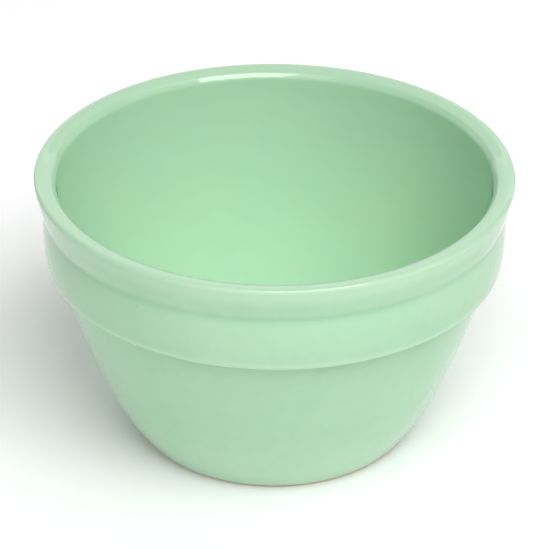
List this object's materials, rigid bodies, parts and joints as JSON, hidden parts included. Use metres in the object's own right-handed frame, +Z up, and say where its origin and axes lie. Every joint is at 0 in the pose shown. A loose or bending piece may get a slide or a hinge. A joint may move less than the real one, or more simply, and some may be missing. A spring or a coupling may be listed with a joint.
{
  "type": "mixing bowl",
  "caption": "Round pudding-basin mixing bowl in glazed earthenware: beaded rim, plain collar, body curving in to a foot ring.",
  "frame": {"origin": "centre of the plane that the foot ring rests on, on the bowl's own axis", "axes": "+Z up along the bowl's axis towards the mouth; the bowl is round, so +X and +Y are any two directions across it"},
  "size_m": [0.2, 0.2, 0.1202],
  "materials": {
    "bare_clay": "matte",
    "mint_glaze": "gloss"
  },
  "bodies": {
    "root": {"clay_body": "bare_clay", "glaze_coat": "mint_glaze", "underside_glaze": "mint_glaze"}
  },
  "joints": []
}
